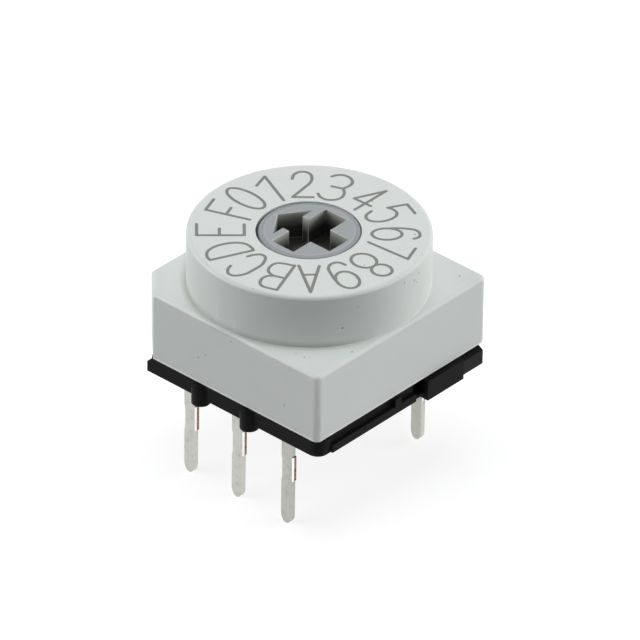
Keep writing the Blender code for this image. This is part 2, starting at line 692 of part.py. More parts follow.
def build_wiper(label, row, contact_x, contact_y):
    """One spring strip: flat on its land, sloping up to a rounded nose under the track."""
    root_z = land_top + SEAT_GAP + WIPER_THICKNESS / 2
    nose_z = track_bottom - WIPER_CLEARANCE - WIPER_THICKNESS / 2
    root_inner = land_inner_y + WIPER_THICKNESS
    nose = abs(contact_y)
    path = [(root_inner + WIPER_ROOT_LENGTH, root_z), (root_inner, root_z)]
    for step in (1.0, 0.5, 0.0, -0.5, -1.0):
        path.append((nose + step * WIPER_NOSE_LENGTH, nose_z - step ** 2 * WIPER_NOSE_RISE))
    shape = bmesh.new()
    left = contact_x - WIPER_WIDTH / 2
    line = [shape.verts.new((left, row * y, z)) for y, z in path]
    edges = [shape.edges.new(pair) for pair in zip(line, line[1:])]
    strip = bmesh.ops.extrude_edge_only(shape, edges=edges)
    moved = [item for item in strip["geom"] if isinstance(item, bmesh.types.BMVert)]
    bmesh.ops.translate(shape, vec=(WIPER_WIDTH, 0.0, 0.0), verts=moved)
    wiper = new_object(f"wiper_{label}", mesh_from(shape, label), parts)
    thickness = wiper.modifiers.new("thickness", "SOLIDIFY")
    thickness.thickness = WIPER_THICKNESS
    thickness.offset = 0.0
    thickness.use_even_offset = True
    return as_part(wiper, wiper_bronze)


def build_detent_spring(label, side):
    """One bowed strip: its ends in the base's posts and its nose in a valley of the star."""
    nose_x = star_valley_radius + DETENT_CLEARANCE + DETENT_THICKNESS / 2
    nose_centre = (nose_x + DETENT_BUMP_NOSE_RADIUS, 0.0)
    nose = arc(nose_centre, DETENT_BUMP_NOSE_RADIUS, math.radians(140), math.radians(220), CORNER_STEPS)
    end_y = post_inner_y + SPRING_POST_GRIP - SLOT_CLEARANCE
    path = [(detent_offset, end_y), (detent_offset, DETENT_BUMP_HALF_LENGTH)] + nose
    path += [(detent_offset, -DETENT_BUMP_HALF_LENGTH), (detent_offset, -end_y)]
    shape = bmesh.new()
    line = [shape.verts.new((side * x, y, detent_bottom)) for x, y in path]
    edges = [shape.edges.new(pair) for pair in zip(line, line[1:])]
    strip = bmesh.ops.extrude_edge_only(shape, edges=edges)
    moved = [item for item in strip["geom"] if isinstance(item, bmesh.types.BMVert)]
    bmesh.ops.translate(shape, vec=(0.0, 0.0, DETENT_HEIGHT), verts=moved)
    spring = new_object(f"detent_spring_{label}", mesh_from(shape, label), parts)
    thickness = spring.modifiers.new("thickness", "SOLIDIFY")
    thickness.thickness = DETENT_THICKNESS
    thickness.offset = 0.0
    thickness.use_even_offset = True
    return as_part(spring, spring_steel)


build_housing()
build_base()
build_rotor()
build_seal_ring()
build_code_disc()
build_code_track()
for wiper_name, (track_radius, angle, pin_column, pin_row, _) in wiper_plan().items():
    touch_x = track_radius * math.cos(angle)
    touch_y = track_radius * math.sin(angle)
    build_terminal(wiper_name, pin_column, pin_row, touch_x)
    build_wiper(wiper_name, pin_row, touch_x, touch_y)
build_detent_spring("right", 1)
build_detent_spring("left", -1)
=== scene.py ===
"""Looks of a sixteen-position rotary dip switch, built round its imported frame.

Lengths are in metres with +Z up, and names that end in _mm are in millimetres. The tips of the pins stand
on Z = 0, the dial's zero lies towards -X, and three of the six pins face -Y. The dial counts clockwise.
"""

import logging
import math
from dataclasses import dataclass
from enum import Enum, IntEnum
from functools import cached_property, partial
from typing import Callable

import bmesh
import bpy
from mathutils import Matrix, Vector


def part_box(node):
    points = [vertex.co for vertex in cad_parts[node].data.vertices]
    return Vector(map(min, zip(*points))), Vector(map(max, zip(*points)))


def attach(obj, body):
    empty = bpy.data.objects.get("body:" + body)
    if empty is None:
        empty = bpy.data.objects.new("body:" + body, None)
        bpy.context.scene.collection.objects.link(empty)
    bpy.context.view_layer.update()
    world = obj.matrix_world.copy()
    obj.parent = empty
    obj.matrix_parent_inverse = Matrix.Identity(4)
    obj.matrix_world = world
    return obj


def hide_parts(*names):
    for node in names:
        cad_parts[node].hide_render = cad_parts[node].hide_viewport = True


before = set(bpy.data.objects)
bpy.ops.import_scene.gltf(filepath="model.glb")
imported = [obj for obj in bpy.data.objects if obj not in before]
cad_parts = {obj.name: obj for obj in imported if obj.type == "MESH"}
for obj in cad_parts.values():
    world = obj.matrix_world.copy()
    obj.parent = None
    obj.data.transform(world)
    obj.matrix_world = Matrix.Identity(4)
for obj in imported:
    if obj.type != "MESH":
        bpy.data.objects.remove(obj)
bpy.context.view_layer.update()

MM = 0.001
HAIR_MM = 0.001
WELD = 0.0005 * MM
FLAT_DEGREES, SHARP_DEGREES = 0.5, 35.0
OVAL_POINTS = 12
HIGHLIGHTED = "eased_edge"
SHADED = "shaded_hollow"
LOG = logging.getLogger("rotary_dip_switch")

Point = tuple[float, float]
Shape, Face = bmesh.types.BMesh, bmesh.types.BMFace
Piece, Material = bpy.types.Object, bpy.types.Material
Tree, Node, Socket = bpy.types.NodeTree, bpy.types.Node, bpy.types.NodeSocket
FaceShare = Callable[[Face], float]


def linear(colour: str) -> tuple[float, float, float, float]:
    """Turn an sRGB hex value into a linear colour.

    Args:
        colour: six hex digits after a hash sign.

    Returns:
        Red, green, blue and an alpha of one.
    """
    channels = [int(colour[index:index + 2], 16) / 255 for index in (1, 3, 5)]
    curve = [c / 12.92 if c <= 0.04045 else ((c + 0.055) / 1.055) ** 2.4 for c in channels]
    return (curve[0], curve[1], curve[2], 1.0)


def add_node(tree: Tree, kind: str, settings: dict | None = None, inputs: dict | None = None) -> Node:
    """Add one node to a tree.

    Args:
        tree: the node tree of a material or of the world.
        kind: Blender's name for the type of node.
        settings: values of the node's own properties.
        inputs: a value or an output socket for each input, by its name or number.

    Returns:
        The node.
    """
    node = tree.nodes.new(kind)
    for name, value in (settings or {}).items():
        setattr(node, name, value)
    for name, value in (inputs or {}).items():
        if isinstance(value, Socket):
            tree.links.new(value, node.inputs[name])
        else:
            node.inputs[name].default_value = value
    return node


def add_object(name: str, data: bpy.types.ID) -> Piece:
    """Add an object with the given data to the scene."""
    added = bpy.data.objects.new(name, data)
    bpy.context.scene.collection.objects.link(added)
    return added


class Surface:
    """A material in the making: its nodes, and the colour that its layers have given so far."""

    def __init__(self, name: str, colour: str) -> None:
        """Start the material.

        Args:
            name: its name.
            colour: the hex value of the colour below all layers.
        """
        self.material = bpy.data.materials.new(name)
        self.material.use_nodes = True
        self.tree = self.material.node_tree
        self.shader = self.tree.nodes["Principled BSDF"]
        self.add = partial(add_node, self.tree)
        self.colour = linear(colour)
        where = self.add("ShaderNodeTexCoord")
        in_mm = self.add("ShaderNodeMapping", inputs={
            "Vector": where.outputs["Object"], "Scale": (1 / MM, 1 / MM, 1 / MM)})
        self.place = in_mm.outputs["Vector"]

    @cached_property
    def parts(self) -> Node:
        """The place in millimetres, split into X, Y and Z."""
        return self.add("ShaderNodeSeparateXYZ", inputs={"Vector": self.place})

    @cached_property
    def away(self) -> Socket:
        """The distance from the rotor's axis, in millimetres."""
        flat = self.add("ShaderNodeVectorMath", {"operation": "MULTIPLY"}, {
            0: self.place, 1: (1.0, 1.0, 0.0)})
        length = self.add("ShaderNodeVectorMath", {"operation": "LENGTH"}, {0: flat.outputs["Vector"]})
        return length.outputs["Value"]

    def cover(self, share: Socket, colour: str | Socket) -> None:
        """Lay a colour over what is there.

        Args:
            share: how much of it shows, from 0 to 1.
            colour: its hex value or its socket.
        """
        over = linear(colour) if isinstance(colour, str) else colour
        blend = self.add("ShaderNodeMix", {"data_type": "RGBA"}, {0: share, 6: self.colour, 7: over})
        self.colour = blend.outputs[2]

    def close(self, sheen: Socket, roughness: float, spread: float, relief: Socket, strength: float,
              depth_mm: float) -> Material:
        """Link the colour, let one pattern vary the roughness, and raise the surface by another.

        Args:
            sheen: the pattern that the roughness follows.
            roughness: the middle roughness.
            spread: how far it varies.
            relief: the pattern that the relief follows.
            strength: how strongly the relief shows.
            depth_mm: how deep the relief is.

        Returns:
            The material.
        """
        rough = self.add("ShaderNodeMapRange", inputs={
            "Value": sheen, "To Min": roughness - spread, "To Max": roughness + spread})
        bump = self.add("ShaderNodeBump", inputs={
            "Strength": strength, "Distance": depth_mm * MM, "Height": relief})
        for output, name in ((self.colour, "Base Color"), (rough.outputs["Result"], "Roughness"),
                             (bump.outputs["Normal"], "Normal")):
            self.tree.links.new(output, self.shader.inputs[name])
        return self.material


@dataclass(frozen=True)
class MouldedPlastic:
    """Injection-moulded thermoplastic: satin, with fine grain, faint flow marks and stray specks.

    The mould's grain is finer than the picture can show, so it is drawn 0.07 mm wide. Painted shade lies in
    the corner that runs round the boss's foot, strongest towards -Y. Marked edges get a painted highlight,
    and faces marked as shaded get painted light at the top of a recess and painted shade that deepens towards
    its floor.
    """

    name: str
    colour: str
    flow_colour: str
    # the colour of the painted highlight on eased edges and other marked faces
    edge_highlight_colour: str
    speck_colour: str
    roughness: float
    sheen_spread: float = 0.06
    ior: float = 1.57
    specular: float = 0.5
    flow_mm: float = 3.0
    grain_mm: float = 0.07
    grain_depth_mm: float = 0.004
    grain_strength: float = 0.5
    grain_contrast: float = 0.25
    grain_range: tuple[float, float] = (0.3, 0.7)
    speck_cell_mm: float = 0.9
    speck_share: float = 0.12
    speck_mm: float = 0.05
    stray_mm: tuple[tuple[float, float, float, float], ...] = ()
    stray_core: float = 0.5
    stray_share: float = 0.8
    # painted shade round the boss's foot: its colour, strength, corner, reach and fade towards +Y
    foot_shade_colour: str = "#8f8e88"
    foot_shade_share: float = 0.0
    foot_shade_ring_mm: tuple[float, float] = (4.77, 8.19)
    foot_shade_reach_mm: float = 0.28
    foot_shade_fades_mm: tuple[float, float] = (-3.0, -1.2)
    ring_mm: float = 0.0
    ring_blur_mm: float = 0.015
    ring_share: float = 0.8
    ring_line_mm: float = 0.02
    ring_colour: str = "#888d90"
    ring_line_colour: str = "#a9adaf"
    # painted light and shade in a recess: pale at its top, dark towards its floor
    hollow_colour: str = "#eceee4"
    hollow_deep_colour: str = "#1b1b15"
    hollow_top_mm: float = 10.44
    hollow_floor_mm: float = 9.75
    hollow_fade: float = 0.5
    hollow_open_mm: tuple[float, float] = (0.45, 0.95)
    hollow_open_share: float = 0.88

    def resin(self, surface: Surface, flow: Socket, grain: Socket) -> None:
        """Blend the resin's two tones along its flow marks and its grain.

        Args:
            surface: the material in the making.
            flow: the flow marks.
            grain: the grain.
        """
        mottle = surface.add("ShaderNodeMapRange", inputs={
            "Value": grain, "From Min": self.grain_range[0], "From Max": self.grain_range[1],
            "To Min": -self.grain_contrast, "To Max": self.grain_contrast})
        share = surface.add("ShaderNodeMath", {"operation": "ADD", "use_clamp": True}, {
            0: flow, 1: mottle.outputs["Result"]})
        surface.cover(share.outputs[0], self.flow_colour)

    def specks(self, surface: Surface) -> None:
        """Scatter small specks, and lay the single stray ones in their places.

        Args:
            surface: the material in the making.
        """
        cells = surface.add("ShaderNodeTexVoronoi", inputs={
            "Vector": surface.place, "Scale": 1 / self.speck_cell_mm})
        chosen = surface.add("ShaderNodeSeparateColor", inputs={"Color": cells.outputs["Color"]})
        radius = surface.add("ShaderNodeMapRange", inputs={
            "Value": chosen.outputs["Red"], "From Min": 1 - self.speck_share,
            "To Max": self.speck_mm / self.speck_cell_mm})
        speck = surface.add("ShaderNodeMath", {"operation": "LESS_THAN"}, {
            0: cells.outputs["Distance"], 1: radius.outputs["Result"]})
        surface.cover(speck.outputs[0], self.speck_colour)
        for *point, radius_mm in self.stray_mm:
            apart = surface.add("ShaderNodeVectorMath", {"operation": "DISTANCE"}, {
                0: surface.place, 1: point})
            spot = surface.add("ShaderNodeMapRange", inputs={
                "Value": apart.outputs["Value"], "From Min": radius_mm * self.stray_core,
                "From Max": radius_mm, "To Min": self.stray_share, "To Max": 0.0})
            surface.cover(spot.outputs["Result"], self.speck_colour)

    def paint_foot_shade(self, surface: Surface) -> None:
        """Paint shade in the corner round the boss's foot, fading towards +Y.

        Args:
            surface: the material in the making.
        """
        section = surface.add("ShaderNodeCombineXYZ", inputs={
            "X": surface.away, "Y": surface.parts.outputs["Z"]})
        gap = surface.add("ShaderNodeVectorMath", {"operation": "DISTANCE"}, {
            0: section.outputs["Vector"], 1: (*self.foot_shade_ring_mm, 0.0)})
        near_corner = surface.add("ShaderNodeMapRange", inputs={
            "Value": gap.outputs["Value"], "From Max": self.foot_shade_reach_mm, "To Min": self.foot_shade_share,
            "To Max": 0.0})
        towards_front = surface.add("ShaderNodeMapRange", inputs={
            "Value": surface.parts.outputs["Y"], "From Min": self.foot_shade_fades_mm[0],
            "From Max": self.foot_shade_fades_mm[1], "To Min": 1.0, "To Max": 0.0})
        foot_shade_strength = surface.add("ShaderNodeMath", {"operation": "MULTIPLY"}, {
            0: near_corner.outputs["Result"], 1: towards_front.outputs["Result"]})
        surface.cover(foot_shade_strength.outputs[0], self.foot_shade_colour)

    def ring(self, surface: Surface) -> None:
        """Darken the rim outside ring_mm, and draw a thin lighter line at ring_mm.

        Args:
            surface: the material in the making.
        """
        outside = surface.add("ShaderNodeMapRange", inputs={
            "Value": surface.away, "From Min": self.ring_mm - self.ring_blur_mm,
            "From Max": self.ring_mm + self.ring_blur_mm, "To Max": self.ring_share})
        surface.cover(outside.outputs["Result"], self.ring_colour)
        line = surface.add("ShaderNodeMath", {"operation": "COMPARE"}, {
            0: surface.away, 1: self.ring_mm, 2: self.ring_line_mm})
        surface.cover(line.outputs[0], self.ring_line_colour)

    def hollow(self, surface: Surface) -> None:
        """Paint light and shade on the marked faces: hollow_colour at the top, fading with depth to
        hollow_deep_colour, a little less near the axis, where the recess is open.

        Args:
            surface: the material in the making.
        """
        depth = surface.add("ShaderNodeMapRange", inputs={
            "Value": surface.parts.outputs["Z"], "From Min": self.hollow_top_mm,
            "From Max": self.hollow_floor_mm})
        fade = surface.add("ShaderNodeMath", {"operation": "POWER"}, {
            0: depth.outputs["Result"], 1: self.hollow_fade})
        tucked = surface.add("ShaderNodeMapRange", inputs={
            "Value": surface.away, "From Min": self.hollow_open_mm[0], "From Max": self.hollow_open_mm[1],
            "To Min": self.hollow_open_share})
        gloom = surface.add("ShaderNodeMath", {"operation": "MULTIPLY"}, {
            0: fade.outputs[0], 1: tucked.outputs["Result"]})
        inside = surface.add("ShaderNodeAttribute", {"attribute_name": SHADED})
        deep = surface.add("ShaderNodeMix", {"data_type": "RGBA"}, {
            0: gloom.outputs[0], 6: linear(self.hollow_colour), 7: linear(self.hollow_deep_colour)})
        surface.cover(inside.outputs["Fac"], deep.outputs[2])

    def make(self) -> Material:
        """Build the material, layer by layer.

        Returns:
            The material.
        """
        surface = Surface(self.name, self.colour)
        flow, grain = (surface.add("ShaderNodeTexNoise",
                                   inputs={"Vector": surface.place, "Scale": 1 / size, "Detail": detail,
                                           "Roughness": rough}).outputs["Fac"]
                       for size, detail, rough in ((self.flow_mm, 3.0, 0.55), (self.grain_mm, 2.0, 0.5)))
        self.resin(surface, flow, grain)
        self.specks(surface)
        # painted highlight on the marked faces
        highlight_mark = surface.add("ShaderNodeAttribute", {"attribute_name": HIGHLIGHTED})
        surface.cover(highlight_mark.outputs["Fac"], self.edge_highlight_colour)
        # painted shade round the boss's foot
        if self.foot_shade_share:
            self.paint_foot_shade(surface)
        if self.ring_mm:
            self.ring(surface)
        self.hollow(surface)
        surface.shader.inputs["IOR"].default_value = self.ior
        surface.shader.inputs["Specular IOR Level"].default_value = self.specular
        return surface.close(flow, self.roughness, self.sheen_spread, grain, self.grain_strength,
                             self.grain_depth_mm)


@dataclass(frozen=True)
class TinnedMetal:
    """Sheet metal, stamped and then plated: soft reflections, lengthwise rolling lines and small stains."""

    name: str
    colour: str
    stain_colour: str
    roughness: float
    sheen_spread: float = 0.08
    line_mm: float = 0.05
    line_squash: float = 0.08
    line_depth_mm: float = 0.004
    line_strength: float = 0.3
    stain_mm: float = 0.22
    stain_share: float = 0.35
    stain_from: float = 0.52
    stain_blur: float = 0.2

    def make(self) -> Material:
        """Build the material's nodes.

        Returns:
            The material.
        """
        surface = Surface(self.name, self.colour)
        along = surface.add("ShaderNodeMapping", inputs={
            "Vector": surface.place, "Scale": (1.0, 1.0, self.line_squash)})
        lines, stains = (surface.add("ShaderNodeTexNoise", inputs={"Vector": where, "Scale": 1 / size,
                                                                   "Detail": detail}).outputs["Fac"]
                         for where, size, detail in ((along.outputs["Vector"], self.line_mm, 3.0),
                                                     (surface.place, self.stain_mm, 4.0)))
        stained = surface.add("ShaderNodeMapRange", inputs={
            "Value": stains, "From Min": self.stain_from, "From Max": self.stain_from + self.stain_blur,
            "To Max": self.stain_share})
        surface.cover(stained.outputs["Result"], self.stain_colour)
        surface.shader.inputs["Metallic"].default_value = 1.0
        return surface.close(lines, self.roughness, self.sheen_spread, lines, self.line_strength,
                             self.line_depth_mm)


@dataclass(frozen=True)
class MarkingInk:
    """Grey marking on plastic: matt, with a slightly uneven tone along each stroke."""

    name: str
    colour: str
    worn_colour: str
    wear_mm: float = 0.12
    roughness: float = 0.7

    def make(self) -> Material:
        """Build the material's nodes.

        Returns:
            The material.
        """
        surface = Surface(self.name, self.colour)
        wear = surface.add("ShaderNodeTexNoise", inputs={
            "Vector": surface.place, "Scale": 1 / self.wear_mm, "Detail": 2.0})
        surface.cover(wear.outputs["Fac"], self.worn_colour)
        surface.tree.links.new(surface.colour, surface.shader.inputs["Base Color"])
        surface.shader.inputs["Roughness"].default_value = self.roughness
        return surface.material


class Finish(Enum):
    """The finishes of the switch's pieces."""

    # Polyester (PBT), injection moulded in light grey: satin, with painted shade in the corner round the
    # boss's foot and painted highlights on its edges
    HOUSING = MouldedPlastic("light_grey_polyester_moulded", "#dce0dd", "#e3e7e4", "#ffffff", "#85837c", 0.46,
                             speck_cell_mm=0.4, speck_share=0.05, foot_shade_share=0.45,
                             stray_mm=((4.70, 0.82, 9.84, 0.06), (4.67, 0.97, 9.68, 0.04),
                                       (4.63, 1.16, 9.97, 0.055), (4.11, 4.15, 8.19, 0.05),
                                       (4.77, 0.16, 10.07, 0.05), (4.61, -2.64, 8.19, 0.055),
                                       (3.52, -4.14, 8.19, 0.045), (3.12, -4.18, 8.19, 0.03),
                                       (4.03, -2.55, 8.98, 0.06), (4.33, -2.01, 9.82, 0.035),
                                       (-1.29, -4.90, 6.35, 0.05), (-0.92, -4.90, 6.63, 0.035)))
    # Polyester, injection moulded in black: dark, with a painted grey highlight on its edges
    BASE = MouldedPlastic("black_polyester_moulded", "#151516", "#1e1e1f", "#3a3a3a", "#6a675f", 0.55,
                          grain_contrast=0.4, speck_cell_mm=0.4, speck_mm=0.035, specular=0.05,
                          # near-black painted shade on the level faces
                          hollow_colour="#050505", hollow_deep_colour="#050505")
    # Polyamide, injection moulded in mid grey: a little glossier than the housing
    ROTOR = MouldedPlastic("mid_grey_polyamide_moulded", "#92979a", "#9ca1a4", "#c4c7c9", "#6b6b63", 0.38,
                           ior=1.53, ring_mm=1.76)
    # Silicone rubber, compression moulded: black and dull
    SEAL = MouldedPlastic("black_silicone_rubber_moulded", "#161616", "#1f1f1f", "#262626", "#1c1c1c", 0.75,
                          ior=1.41)
    # Glass-filled epoxy laminate, routed from sheet: deep green
    LAMINATE = MouldedPlastic("green_glass_epoxy_laminate", "#1d4a31", "#25583b", "#4a6b4d", "#173d28", 0.5,
                              ior=1.55)
    # Copper alloy strip, stamped and tinned: pale grey with blurred reflections
    TERMINAL = TinnedMetal("stamped_copper_alloy_tinned", "#c3c3bd", "#95938a", 0.58)
    # The same plating, a little duller on one pin
    TERMINAL_DULL = TinnedMetal("stamped_copper_alloy_tinned_dull", "#b8b8b2", "#8c8a81", 0.6)
    # The same tin on the narrow stamped sides, which are smoother, with its colour painted a little lighter
    # as if more light fell on them
    NARROW_PAINTED_LIGHTER = TinnedMetal("stamped_side_tinned_painted_lighter", "#d3d3cd", "#abaaa4", 0.45)
    # Tin burnished by the punch along a sheared edge: brighter and smoother than the rest
    BURNISHED = TinnedMetal("tin_burnished_by_the_punch", "#ffffff", "#e8e8e4", 0.14, stain_share=0.1)
    # Copper alloy laid bare where the strip was cut after plating: brown, torn and dull
    BARE = TinnedMetal("sheared_bare_copper_alloy", "#a88a62", "#54401f", 0.5, line_mm=0.03, stain_mm=0.07,
                       stain_share=1.0, stain_from=0.42)
    # Copper alloy darkened by air along the cut's far edge: deep brown
    DARKENED = TinnedMetal("oxidised_copper_alloy_edge", "#4a3626", "#2a2018", 0.6, stain_mm=0.1)
    # Gold over nickel on etched copper: warm and bright
    TRACK = TinnedMetal("etched_copper_gold_plated", "#e6c16a", "#c89a4e", 0.25)
    # Bronze strip, stamped and gold plated
    WIPER = TinnedMetal("bronze_strip_gold_plated", "#ddb263", "#b58946", 0.28)
    # Stainless spring strip, rolled and formed
    SPRING = TinnedMetal("rolled_stainless_spring_strip", "#bfc2c6", "#9b9ea2", 0.3)
    # Grey pad-printing ink
    INK = MarkingInk("grey_marking_ink_printed", "#7f7d7a", "#8e8c88")


MADE: dict[Finish, Material] = {}


def material_of(finish: Finish) -> Material:
    """Make a finish's material once.

    Args:
        finish: the finish.

    Returns:
        Its material.
    """
    if finish not in MADE:
        MADE[finish] = finish.value.make()
    return MADE[finish]


def cad_copy(node: str) -> Shape:
    """Copy a CAD node's shape, with its loose triangles welded and its flat faces made whole.

    Args:
        node: the node's name.

    Returns:
        A new bmesh.
    """
    shape = bmesh.new()
    shape.from_mesh(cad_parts[node].data)
    bmesh.ops.remove_doubles(shape, verts=shape.verts, dist=WELD)
    bmesh.ops.dissolve_limit(shape, angle_limit=math.radians(FLAT_DEGREES), verts=shape.verts,
                             edges=shape.edges)
    return shape


def ease_edges(shape: Shape, width_mm: float) -> None:
    """Round the sharp edges of a shape and mark the new faces for a painted highlight.

    Args:
        shape: the bmesh.
        width_mm: how far the rounding reaches on each side.
    """
    layer = shape.faces.layers.float.new(HIGHLIGHTED)
    sharp = [edge for edge in shape.edges
             if edge.is_manifold and edge.calc_face_angle(0.0) > math.radians(SHARP_DEGREES)]
    made = bmesh.ops.bevel(shape, geom=sharp, offset=width_mm * MM, offset_type="OFFSET", segments=2,
                           profile=0.5, affect="EDGES", clamp_overlap=True, material=-1)
    for face in made["faces"]:
        face[layer] = 1.0


def mark_faces(shape: Shape, label: str, share: FaceShare) -> None:
    """Mark some faces with an attribute that a finish reads.

    Args:
        shape: the bmesh.
        label: the attribute's name.
        share: how strongly a face is marked, from 0 to 1.
    """
    layer = shape.faces.layers.float.get(label) or shape.faces.layers.float.new(label)
    for face in shape.faces:
        face[layer] = max(face[layer], share(face))


def cut_through(shape: Shape, point: Vector, normal: tuple[float, float, float]) -> None:
    """Cut every face of a shape along a plane without removing anything.

    Args:
        shape: the bmesh.
        point: a point of the plane.
        normal: the plane's normal.
    """
    bmesh.ops.bisect_plane(shape, geom=[*shape.verts, *shape.edges, *shape.faces], dist=WELD,
                           plane_co=point, plane_no=normal)


def off_axis(point: Vector) -> float:
    """How far a point lies from the rotor's axis, in millimetres."""
    return math.hypot(point.x, point.y) / MM


def as_piece(name: str, shape: Shape, finishes: tuple[Finish, ...], body: str) -> Piece:
    """Make a finished shape a piece of the switch, and shade its round forms smooth.

    Args:
        name: the piece's name.
        shape: its bmesh, which is freed.
        finishes: its finishes, in the order of its faces' material numbers.
        body: the CAD body that it rides on.

    Returns:
        The piece.
    """
    mesh = bpy.data.meshes.new(name)
    shape.to_mesh(mesh)
    shape.free()
    for finish in finishes:
        mesh.materials.append(material_of(finish))
    mesh.shade_smooth()
    mesh.set_sharp_from_angle(angle=math.radians(SHARP_DEGREES))
    piece = add_object(name, mesh)
    even = piece.modifiers.new("even_shading", "WEIGHTED_NORMAL")
    even.keep_sharp = True
    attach(piece, body)
    LOG.info("%s: %d faces", name, len(mesh.polygons))
    return piece


@dataclass
class Housing:
    """The light grey cover with its round boss."""

    edge_mm: float = 0.025
    top_lowered_mm: float = 0.006
    bore_reach_mm: float = 2.10
    bore_depth_mm: float = 1.03
    bore_shift_mm: tuple[float, float] = (-0.015, -0.035)
    corner_radius_mm: float = 0.43
    tighter_by_mm: float = 0.12
    front_tighter_by_mm: float = 0.18
    foot_band_mm: float = 0.09
    boss_mm: float = 4.77
    ledge_mm: float = 8.19
    boss_foot_mm: float = 0.05
    corner_at_mm: float = 4.5
    level_above: float = 0.5
    corner_highlight: float = 0.85
    highlight_from: float = 0.15
    highlight_rise: float = 0.45

    def tighten_corners(self, shape: Shape) -> None:
        """Draw the three upright rounded corners a little tighter, within the cover's square.

        Args:
            shape: the cover's bmesh.
        """
        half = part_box("housing")[1].x / MM
        centre = half - self.corner_radius_mm
        for vertex in shape.verts:
            x, y = vertex.co.x / MM, vertex.co.y / MM
            if min(abs(x), abs(y)) < centre - HAIR_MM or (x < 0.0 and y < 0.0):
                continue
            outward = Vector((abs(x) - centre, abs(y) - centre, 0.0))
            tighter = self.front_tighter_by_mm if y < 0.0 else self.tighter_by_mm
            if outward.length < tighter:
                continue
            moved = (Vector((1.0, 1.0, 0.0)) - outward.normalized()) * tighter * MM
            vertex.co += Vector((math.copysign(moved.x, x), math.copysign(moved.y, y), 0.0))

    def corner_share(self, face: Face) -> float:
        """Find how much painted highlight a face on the crest of the front corner gets.

        Args:
            face: a face of the cover.

        Returns:
            Its share, from 0 to corner_highlight.
        """
        centre = face.calc_center_median() / MM
        if abs(face.normal.z) > self.level_above or min(centre.x, -centre.y) < self.corner_at_mm:
            return 0.0
        slant = min(abs(face.normal.x), abs(face.normal.y))
        # painted highlight on the front corner's crest
        return self.corner_highlight * min(max((slant - self.highlight_from) / self.highlight_rise, 0.0), 1.0)

    def mark_highlights(self, shape: Shape) -> None:
        """Mark where a highlight is painted: the eased edges without the boss's foot, a thin band along the
        cover's foot, and the front corner.

        Args:
            shape: the cover's bmesh.
        """
        highlight_mark = shape.faces.layers.float[HIGHLIGHTED]
        for face in shape.faces:
            centre = face.calc_center_median()
            beside, above = off_axis(centre) - self.boss_mm, centre.z / MM - self.ledge_mm
            if abs(beside) < self.boss_foot_mm and abs(above) < self.boss_foot_mm:
                face[highlight_mark] = 0.0
        # a thin painted highlight along the cover's foot
        band_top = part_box("housing")[0].z + self.foot_band_mm * MM
        cut_through(shape, Vector((0.0, 0.0, band_top)), (0.0, 0.0, 1.0))
        mark_faces(shape, HIGHLIGHTED, lambda face: 1.0 if face.calc_center_median().z < band_top else 0.0)
        mark_faces(shape, HIGHLIGHTED, self.corner_share)

    def fit_top(self, shape: Shape) -> None:
        """Shift the bore to its place and lower the boss's top under the printed marks.

        Args:
            shape: the cover's bmesh.
        """
        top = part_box("housing")[1].z
        bore = [vertex for vertex in shape.verts
                if off_axis(vertex.co) < self.bore_reach_mm and vertex.co.z > top - self.bore_depth_mm * MM]
        bmesh.ops.translate(shape, vec=Vector((*self.bore_shift_mm, 0.0)) * MM, verts=bore)
        summit = [vertex for vertex in shape.verts if vertex.co.z > top - WELD]
        bmesh.ops.translate(shape, vec=(0.0, 0.0, -self.top_lowered_mm * MM), verts=summit)

    def build(self) -> Piece:
        """Shape and dress the cover.

        Returns:
            The piece.
        """
        shape = cad_copy("housing")
        self.tighten_corners(shape)
        ease_edges(shape, self.edge_mm)
        self.mark_highlights(shape)
        self.fit_top(shape)
        piece = as_piece("housing_cover", shape, (Finish.HOUSING,), "switch_body")
        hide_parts("housing")
        return piece


@dataclass
class Base:
    """The black floor with its pegs, rails and blocks."""

    edge_mm: float = 0.03
    cut_corner_mm: Point = (-3.98, -3.56)
    cut_corner_reach_mm: float = 0.3
    cut_end_past_mm: float = 0.9
    cut_end_in_mm: float = 0.05
    cut_side_in_mm: float = 0.20
    level_above: float = 0.7

    def trim_cut_corner(self, shape: Shape) -> None:
        """Draw the cut corner in a little, so that it hides behind the cover's cut corner.

        Args:
            shape: the base's bmesh.
        """
        corner_x, corner_y = self.cut_corner_mm
        region = [vertex for vertex in shape.verts
                  if vertex.co.x / MM < corner_x + self.cut_corner_reach_mm and vertex.co.y / MM < corner_y]
        side = [vertex for vertex in region if vertex.co.y / MM > corner_y - self.cut_corner_reach_mm]
        end = [vertex for vertex in region if vertex.co.y / MM < corner_y - self.cut_end_past_mm]
        bmesh.ops.translate(shape, vec=(0.0, self.cut_side_in_mm * MM, 0.0), verts=side)
        bmesh.ops.translate(shape, vec=(self.cut_end_in_mm * MM, 0.0, 0.0), verts=end)

    def build(self) -> Piece:
        """Shape and dress the floor, with painted shade, near black, on its level faces.

        Returns:
            The piece.
        """
        shape = cad_copy("base")
        self.trim_cut_corner(shape)
        ease_edges(shape, self.edge_mm)
        # painted shade, near black, on the level faces
        mark_faces(shape, SHADED, lambda face: 1.0 if face.normal.z > self.level_above else 0.0)
        piece = as_piece("base_floor", shape, (Finish.BASE,), "switch_body")
        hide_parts("base")
        return piece


